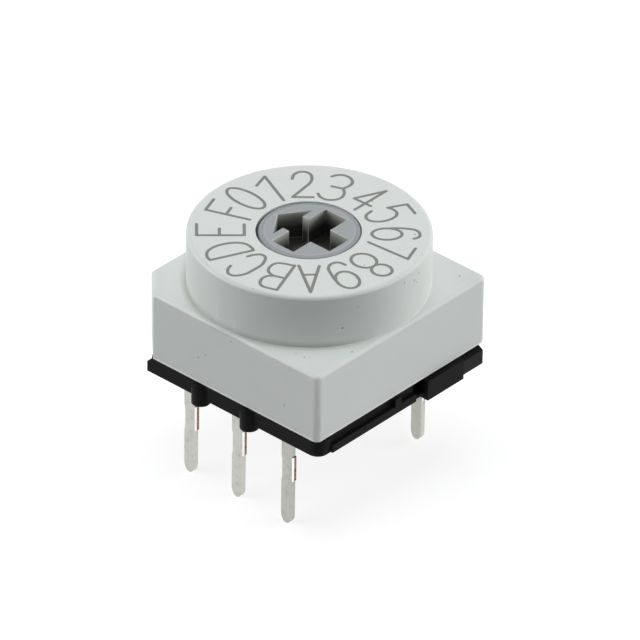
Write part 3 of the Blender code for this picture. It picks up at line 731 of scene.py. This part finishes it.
@dataclass
class Rotor:
    """The slotted rotor in the boss."""

    edge_mm: float = 0.02
    recess_reach_mm: float = 1.72
    recess_floor_mm: float = 9.2
    recess_top_mm: float = 10.41
    lit_edge_reach_mm: float = 1.15
    lit_edge_width_mm: float = 0.05
    upright_height_mm: float = 0.3
    lit_edge_share: float = 0.25
    wall_share: float = 0.92

    def recess_share(self, face: Face) -> float:
        """Find how much painted shade a face of the driver recess gets.

        Args:
            face: a face of the rotor.

        Returns:
            None outside the recess, little on its upright edges near the middle, which are left pale as if
            lit, more on its walls, and 1 on its floor.
        """
        centre = face.calc_center_median()
        deep = self.recess_floor_mm < centre.z / MM < self.recess_top_mm
        if off_axis(centre) > self.recess_reach_mm or not deep:
            return 0.0
        heights = [vertex.co.z / MM for vertex in face.verts]
        upright = max(heights) - min(heights) > self.upright_height_mm
        narrow = min(edge.calc_length() for edge in face.edges) / MM < self.lit_edge_width_mm
        if upright and narrow and off_axis(centre) < self.lit_edge_reach_mm:
            return self.lit_edge_share
        return self.wall_share if upright else 1.0

    def build(self) -> Piece:
        """Shape and dress the rotor.

        Returns:
            The piece.
        """
        shape = cad_copy("rotor")
        ease_edges(shape, self.edge_mm)
        # painted shade in the driver recess, with painted light at its top
        mark_faces(shape, SHADED, self.recess_share)
        piece = as_piece("rotor_knob", shape, (Finish.ROTOR,), "rotor")
        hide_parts("rotor")
        return piece


class PinFace(IntEnum):
    """The kinds of face on a terminal, in the order of its finishes."""

    BROAD = 0
    BURNISHED = 1
    BARE = 2
    DARKENED = 3
    NARROW = 4


@dataclass
class Pins:
    """The six stamped terminals."""

    edge_mm: float = 0.02
    pitch_mm: float = 2.54
    row_mm: float = 3.81
    base_bottom_mm: float = 4.5
    width_mm: float = 0.56
    thickness_mm: float = 0.28
    narrowed_to: float = 0.95
    thinned_to: float = 0.86
    tab_low_mm: float = 1.88
    tab_high_mm: float = 3.10
    tab_low_raised_mm: float = 0.15
    tab_high_raised_mm: float = 0.06
    tab_edge_share: float = 0.45
    tab_near_mm: float = 0.01
    tab_spare_mm: float = 0.1
    away_above: float = 0.2
    narrow_above: float = 0.6
    dent_mm: float = 0.045
    dent_slope_mm: float = 0.22
    dent_beyond_mm: float = 0.2
    dent_inside_mm: float = 0.05
    burnished_share: float = 0.42
    point_mm: float = 1.0
    tip_below_mm: float = 0.9
    rear_lift_mm: float = 0.10
    dull: tuple[str, ...] = ("bit_8",)
    places: tuple[tuple[str, int, int, float], ...] = (
        ("common_front", 0, -1, -0.02), ("common_rear", 0, 1, 0.0), ("bit_1", -1, 1, 0.0),
        ("bit_2", 1, 1, 0.0), ("bit_4", -1, -1, 0.0), ("bit_8", 1, -1, 0.04))

    def below_base(self, shape: Shape) -> list[bmesh.types.BMVert]:
        """The vertices of a terminal that stand free below the base."""
        return [vertex for vertex in shape.verts if vertex.co.z / MM < self.base_bottom_mm + HAIR_MM]

    def shape_blade(self, shape: Shape, x: float, y: float, row: int) -> None:
        """Thin the blade below the base and press the dent opposite its sheared tab.

        Args:
            shape: the terminal's bmesh.
            x: the blade's centre, in millimetres.
            y: the blade's centre, in millimetres.
            row: -1 for the front row and 1 for the rear row.
        """
        low, high, slope = self.tab_low_mm, self.tab_high_mm, self.dent_slope_mm
        for level in (self.base_bottom_mm, high, high - slope, low + slope, low, self.point_mm):
            cut_through(shape, Vector((x, y, level)) * MM, (0.0, 0.0, 1.0))
        blade = self.below_base(shape)
        centre = Matrix.Translation((-x * MM, -y * MM, 0.0))
        bmesh.ops.scale(shape, vec=(self.narrowed_to, self.thinned_to, 1.0), space=centre, verts=blade)
        dent = [vertex for vertex in blade if vertex.co.x / MM < x - self.dent_beyond_mm
                and low + self.dent_inside_mm < vertex.co.z / MM < high - self.dent_inside_mm]
        bmesh.ops.translate(shape, vec=(self.dent_mm * MM, 0.0, 0.0), verts=dent)
        tab_x = x + self.width_mm * self.tab_edge_share
        for level, raised in ((low, self.tab_low_raised_mm), (high, self.tab_high_raised_mm)):
            edge = [vertex for vertex in blade
                    if vertex.co.x / MM > tab_x and abs(vertex.co.z / MM - level) < self.tab_near_mm]
            bmesh.ops.translate(shape, vec=(0.0, 0.0, raised * MM), verts=edge)
        if row > 0:
            tip = [vertex for vertex in blade if vertex.co.z / MM < self.tip_below_mm]
            bmesh.ops.translate(shape, vec=(0.0, 0.0, self.rear_lift_mm * MM), verts=tip)

    def dress_tab(self, shape: Shape, x: float, y: float) -> None:
        """Give the tab's sheared face its burnished and its torn band, and the blade its narrow sides.

        Args:
            shape: the terminal's bmesh.
            x: the blade's centre, in millimetres.
            y: the blade's centre, in millimetres.
        """
        thickness = self.thickness_mm * self.thinned_to
        split = y - thickness / 2 + thickness * self.burnished_share
        cut_through(shape, Vector((x, split, 0.0)) * MM, (0.0, 1.0, 0.0))
        for face in shape.faces:
            centre = face.calc_center_median() / MM
            beside_tab = self.tab_low_mm < centre.z < self.tab_high_mm + self.tab_spare_mm
            if centre.x > x + self.width_mm / 2 and beside_tab:
                torn = centre.y >= split
                if face.normal.y > self.away_above or (abs(face.normal.z) > self.away_above and torn):
                    face.material_index = PinFace.DARKENED
                else:
                    face.material_index = PinFace.BARE if torn else PinFace.BURNISHED
            elif abs(face.normal.x) > self.narrow_above and centre.z < self.base_bottom_mm:
                face.material_index = PinFace.NARROW

    def build(self) -> list[Piece]:
        """Shape and dress each terminal.

        Returns:
            The pieces.
        """
        pieces = []
        for label, column, row, aside_mm in self.places:
            shape = cad_copy(f"terminal_{label}")
            x, y = column * self.pitch_mm, row * self.row_mm - self.thickness_mm / 2
            self.shape_blade(shape, x, y, row)
            ease_edges(shape, self.edge_mm)
            self.dress_tab(shape, x, y)
            bmesh.ops.translate(shape, vec=(aside_mm * MM, 0.0, 0.0), verts=self.below_base(shape))
            # each pin's narrow sides take a copy painted a little lighter than its broad faces
            broad, narrow = ((Finish.TERMINAL_DULL, Finish.TERMINAL) if label in self.dull
                             else (Finish.TERMINAL, Finish.NARROW_PAINTED_LIGHTER))
            finishes = (broad, Finish.BURNISHED, Finish.BARE, Finish.DARKENED, narrow)
            piece = as_piece(f"pin_{label}", shape, finishes, "switch_body")
            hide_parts(f"terminal_{label}")
            pieces.append(piece)
        return pieces


def straight(*points: Point) -> tuple[str, tuple[Point, ...]]:
    """A stroke of straight lines through points."""
    return ("POLY", points)


def bow(*points: Point) -> tuple[str, tuple[Point, ...]]:
    """A stroke that curves smoothly through points."""
    return ("BEZIER", points)


def loop(across: float, up: float, half_width: float, half_height: float) -> tuple[str, tuple[Point, ...]]:
    """A closed oval stroke.

    Args:
        across: the oval's centre, sideways.
        up: the oval's centre, upwards.
        half_width: half of its width.
        half_height: half of its height.

    Returns:
        The kind of stroke and its points.
    """
    turns = [2 * math.pi * index / OVAL_POINTS for index in range(OVAL_POINTS)]
    return ("LOOP", tuple((across + half_width * math.cos(turn), up + half_height * math.sin(turn))
                          for turn in turns))


# Plain single-line characters, in hundredths of a millimetre, each 190 high with its foot towards the rotor
CHARACTERS = {
    "0": [loop(-1, 96, 42, 95)],
    "1": [straight((-56, 137), (0, 187)), straight((0, 187), (1, 0))],
    "2": [bow((-57, 137), (-47, 171), (-20, 189), (10, 177), (20, 149), (14, 112), (-10, 74), (-57, 6)),
          straight((-57, 6), (23, 5))],
    "3": [bow((-61, 162), (-43, 180), (-16, 188), (18, 172), (31, 139), (13, 97)),
          straight((-35, 96), (13, 97)),
          bow((13, 97), (30, 62), (26, 26), (-12, 0), (-45, 6), (-65, 27))],
    "4": [straight((13, 182), (19, -1)), straight((13, 182), (-39, 56)), straight((-39, 56), (45, 62))],
    "5": [straight((39, 194), (-32, 192)), straight((-32, 192), (-38, 112)),
          bow((-38, 112), (-15, 128), (15, 128), (37, 104), (44, 68), (36, 32), (14, 8), (-16, 11),
              (-40, 44))],
    "6": [bow((51, 167), (40, 186), (18, 191), (-6, 180), (-19, 148), (-24, 100), (-22, 64)),
          loop(18, 64, 40, 58)],
    "7": [straight((-47, 186), (34, 186)), straight((34, 186), (-19, 2))],
    "8": [loop(-5, 149, 38, 41), loop(-4, 55, 45, 53)],
    "9": [loop(-5, 130, 43, 60), bow((38, 128), (37, 72), (26, 20), (0, 2), (-24, 8), (-39, 31))],
    "A": [straight((-4, 186), (-40, 3)), straight((-4, 186), (39, 0)), straight((-27, 64), (23, 64))],
    "B": [straight((-42, 186), (-42, 3)), straight((-42, 187), (-2, 187)),
          bow((-2, 187), (24, 181), (40, 150), (30, 113), (8, 100)), straight((-42, 100), (8, 100)),
          bow((8, 100), (34, 82), (43, 48), (28, 14), (-2, 5)), straight((-42, 4), (-2, 5))],
    "C": [bow((41, 143), (30, 170), (0, 189), (-30, 166), (-41, 98), (-30, 32), (3, 2), (30, 22), (41, 50))],
    "D": [straight((-42, 186), (-42, 7)), straight((-42, 187), (-20, 190)),
          bow((-20, 190), (14, 176), (37, 138), (42, 98), (33, 48), (8, 15), (-25, 5)),
          straight((-42, 7), (-25, 5))],
    "E": [straight((-27, 190), (-27, 6)), straight((-27, 190), (53, 190)), straight((-27, 102), (21, 102)),
          straight((-27, 6), (51, 6))],
    "F": [straight((-8, 184), (-8, -1)), straight((-8, 184), (73, 183)), straight((-8, 98), (43, 98))],
}


@dataclass
class DialMarks:
    """The sixteen characters round the rotor, printed on the boss."""

    grid_mm: float = 0.01
    stroke_mm: float = 0.124
    thickness_mm: float = 0.006
    sunk_mm: float = 0.002
    level_step_mm: float = 0.0003
    foot_radius_mm: float = 2.40
    centre_mm: Point = (0.03, -0.12)
    zero_degrees: float = 178.0
    step_degrees: float = 22.5
    bend_steps: int = 6
    end_segments: int = 16
    levels_each: int = 3

    def stroke(self, kind: str, points: tuple[Point, ...]) -> Shape:
        """Make one flat stroke of even width with round ends.

        Args:
            kind: POLY for straight lines, BEZIER for a bow and LOOP for a closed oval.
            points: the stroke's line in the character's own grid.

        Returns:
            A bmesh on Z = 0.
        """
        curve = bpy.data.curves.new("stroke", "CURVE")
        curve.dimensions = "3D"
        curve.twist_mode = "Z_UP"
        curve.extrude = self.stroke_mm / 2 * MM
        scale = self.grid_mm * MM
        if kind == "POLY":
            spline = curve.splines.new("POLY")
            spline.points.add(len(points) - 1)
            for knot, (across, up) in zip(spline.points, points):
                knot.co = (across * scale, up * scale, 0.0, 1.0)
                knot.tilt = math.pi / 2
        else:
            spline = curve.splines.new("BEZIER")
            spline.bezier_points.add(len(points) - 1)
            spline.resolution_u = self.bend_steps
            for knot, (across, up) in zip(spline.bezier_points, points):
                knot.co = (across * scale, up * scale, 0.0)
                knot.handle_left_type = knot.handle_right_type = "AUTO"
                knot.tilt = math.pi / 2
            spline.use_cyclic_u = kind == "LOOP"
        guide = add_object("stroke", curve)
        ribbon = bpy.data.meshes.new_from_object(guide.evaluated_get(bpy.context.evaluated_depsgraph_get()))
        bpy.data.objects.remove(guide)
        bpy.data.curves.remove(curve)
        shape = bmesh.new()
        shape.from_mesh(ribbon)
        bpy.data.meshes.remove(ribbon)
        if kind != "LOOP":
            below = -self.level_step_mm * MM
            for across, up in (points[0], points[-1]):
                bmesh.ops.create_circle(shape, cap_ends=True, segments=self.end_segments,
                                        radius=self.stroke_mm / 2 * MM,
                                        matrix=Matrix.Translation((across * scale, up * scale, below)))
                below *= 2
        return shape

    def build(self) -> list[Piece]:
        """Print each character on the boss, its strokes on levels of their own so that no faces fight.

        Returns:
            The pieces.
        """
        thickness = (self.thickness_mm + self.sunk_mm) * MM
        foot_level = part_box("housing")[1].z - thickness
        pieces = []
        for index, (label, strokes) in enumerate(CHARACTERS.items()):
            angle = math.radians(self.zero_degrees - self.step_degrees * index)
            turn = Matrix.Rotation(angle - math.pi / 2, 4, "Z")
            foot = Matrix.Translation((0.0, self.foot_radius_mm * MM, 0.0))
            whole = bmesh.new()
            for order, (kind, points) in enumerate(strokes):
                level = foot_level - self.levels_each * order * self.level_step_mm * MM
                middle = Matrix.Translation((self.centre_mm[0] * MM, self.centre_mm[1] * MM, level))
                part = self.stroke(kind, points)
                bmesh.ops.transform(part, matrix=middle @ turn @ foot, verts=part.verts)
                made = bpy.data.meshes.new("stroke")
                part.to_mesh(made)
                part.free()
                whole.from_mesh(made)
                bpy.data.meshes.remove(made)
            for face in whole.faces:
                if face.normal.z < 0:
                    face.normal_flip()
            raised = bmesh.ops.extrude_face_region(whole, geom=list(whole.faces), use_keep_orig=True)
            verts = [item for item in raised["geom"] if isinstance(item, bmesh.types.BMVert)]
            bmesh.ops.translate(whole, vec=(0.0, 0.0, thickness), verts=verts)
            bmesh.ops.recalc_face_normals(whole, faces=whole.faces)
            pieces.append(as_piece(f"dial_mark_{label}", whole, (Finish.INK,), "switch_body"))
        return pieces


@dataclass
class InnerParts:
    """The pieces inside, which stay as the CAD has them."""

    finishes: tuple[tuple[str, Finish], ...] = (
        ("rotor_seal_ring", Finish.SEAL), ("code_disc", Finish.LAMINATE), ("code_track", Finish.TRACK),
        ("detent_spring", Finish.SPRING), ("wiper_", Finish.WIPER))

    def dress(self) -> None:
        """Give each inner CAD node its finish."""
        for start, finish in self.finishes:
            for name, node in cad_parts.items():
                if name.startswith(start):
                    node.data.materials.clear()
                    node.data.materials.append(material_of(finish))
                    LOG.info("%s: %s", name, finish.value.name)


def seen_itself(tree: Tree) -> Socket:
    """Tell the rays that show a surface, also in metal or glass, from those that light the switch.

    Args:
        tree: the tree of the floor's material or of the sky.

    Returns:
        A socket that is 1 for the first and 0 for the others.
    """
    path = add_node(tree, "ShaderNodeLightPath")
    imaged = add_node(tree, "ShaderNodeMath", {"operation": "MAXIMUM"}, {
        0: path.outputs["Is Glossy Ray"], 1: path.outputs["Is Transmission Ray"]})
    seen = add_node(tree, "ShaderNodeMath", {"operation": "MAXIMUM"}, {
        0: path.outputs["Is Camera Ray"], 1: imaged.outputs[0]})
    return seen.outputs[0]


@dataclass
class Studio:
    """A pale floor, soft lamps, a plain sky and the camera."""

    camera_mm: tuple[float, float, float] = (181.467, -202.627, 186.395)
    azimuth: float = 41.753
    elevation: float = 33.509
    roll: float = 0.713
    focal_px: float = 8397.2
    frame_px: float = 640.0
    sensor_mm: float = 36.0
    clip: tuple[float, float] = (0.02, 20.0)
    overhead_tint: tuple[float, float, float] = (0.96, 1.0, 1.02)
    lamp_distance: float = 0.60
    lamp_side: float = 0.40
    lamps: tuple[tuple[str, float, float, float, bool], ...] = (
        ("lamp_above", 0.0, 89.9, 0.42, True), ("lamp_right_rear", 147.0, 12.0, 0.68, False),
        ("lamp_right", 117.0, 12.0, 0.30, False), ("lamp_left", -63.0, 12.0, 0.38, True),
        ("lamp_left_front", -33.0, 12.0, 0.16, True), ("lamp_left_high", -33.0, 40.0, 0.21, True),
        ("lamp_rear", 222.0, 15.0, 0.16, True))
    floor_half: float = 3.0
    floor_white: float = 0.80
    floor_colour: str = "#9b9b9b"

    def lamp(self, name: str, turn: float, rise: float, level: float, mirrored: bool) -> None:
        """Hang a square soft lamp that faces the switch.

        Args:
            name: the lamp's name.
            turn: the lamp's azimuth in radians, where 0 is at -Y and a quarter turn at +X.
            rise: its height above the horizon, in radians.
            level: how bright it makes a white surface that faces it, where 1 is white.
            mirrored: whether satin surfaces show it as a sheen.
        """
        light = bpy.data.lights.new(name, "AREA")
        light.size = self.lamp_side
        light.energy = level * (math.pi * self.lamp_distance) ** 2
        lamp = add_object(name, light)
        away = Vector((math.sin(turn) * math.cos(rise), -math.cos(turn) * math.cos(rise), math.sin(rise)))
        lamp.visible_glossy = mirrored
        lamp.location = away * self.lamp_distance
        lamp.rotation_euler = away.to_track_quat("Z", "Y").to_euler()

    def light(self) -> None:
        """Hang the lamps and set the sky, which is white to the eye and gives no light."""
        for name, turn, rise, level, mirrored in self.lamps:
            self.lamp(name, math.radians(turn), math.radians(rise), level, mirrored)
        bpy.data.lights["lamp_above"].color = self.overhead_tint
        world = bpy.data.worlds.new("sky")
        bpy.context.scene.world = world
        world.use_nodes = True
        tree = world.node_tree
        sky = tree.nodes["Background"]
        tree.links.new(seen_itself(tree), sky.inputs["Strength"])
        sky.inputs["Color"].default_value = linear("#ffffff")

    def floor(self) -> None:
        """Lay a pale floor under the pins, which shows white and keeps the shadow."""
        shape = bmesh.new()
        bmesh.ops.create_grid(shape, x_segments=1, y_segments=1, size=self.floor_half)
        mesh = bpy.data.meshes.new("floor")
        shape.to_mesh(mesh)
        shape.free()
        floor = add_object("floor", mesh)
        material = bpy.data.materials.new("pale_paper_floor")
        material.use_nodes = True
        tree = material.node_tree
        tree.nodes.remove(tree.nodes["Principled BSDF"])
        paper = add_node(tree, "ShaderNodeBsdfDiffuse", inputs={"Color": linear(self.floor_colour)})
        white = add_node(tree, "ShaderNodeMath", {"operation": "MULTIPLY"}, {
            0: seen_itself(tree), 1: self.floor_white})
        glow = add_node(tree, "ShaderNodeEmission", inputs={"Strength": white.outputs[0]})
        both = add_node(tree, "ShaderNodeAddShader", inputs={0: paper.outputs[0], 1: glow.outputs[0]})
        tree.links.new(both.outputs[0], tree.nodes["Material Output"].inputs["Surface"])
        mesh.materials.append(material)

    def camera(self) -> None:
        """Set the camera at the photograph's place and angle."""
        turn, rise, roll = (math.radians(value) for value in (self.azimuth, self.elevation, self.roll))
        back = Vector((math.sin(turn) * math.cos(rise), -math.cos(turn) * math.cos(rise), math.sin(rise)))
        level = Vector((math.cos(turn), math.sin(turn), 0.0))
        upright = back.cross(level)
        right = math.cos(roll) * level + math.sin(roll) * upright
        up = math.cos(roll) * upright - math.sin(roll) * level
        lens = bpy.data.cameras.new("photo_camera")
        lens.sensor_width = self.sensor_mm
        lens.lens = self.focal_px / self.frame_px * self.sensor_mm
        lens.clip_start, lens.clip_end = self.clip
        camera = add_object("photo_camera", lens)
        axes = Matrix((right, up, back)).transposed().to_4x4()
        camera.matrix_world = Matrix.Translation(Vector(self.camera_mm) * MM) @ axes
        bpy.context.scene.camera = camera

    def build(self) -> None:
        """Set up the whole studio."""
        self.light()
        self.floor()
        self.camera()
        bpy.context.scene.view_settings.view_transform = "Standard"


def main() -> None:
    """Build and dress the switch, then set up the studio."""
    logging.basicConfig(level=logging.INFO, format="%(message)s")
    Studio().build()
    Housing().build()
    Base().build()
    Rotor().build()
    Pins().build()
    DialMarks().build()
    InnerParts().dress()


if __name__ == "__main__":
    main()
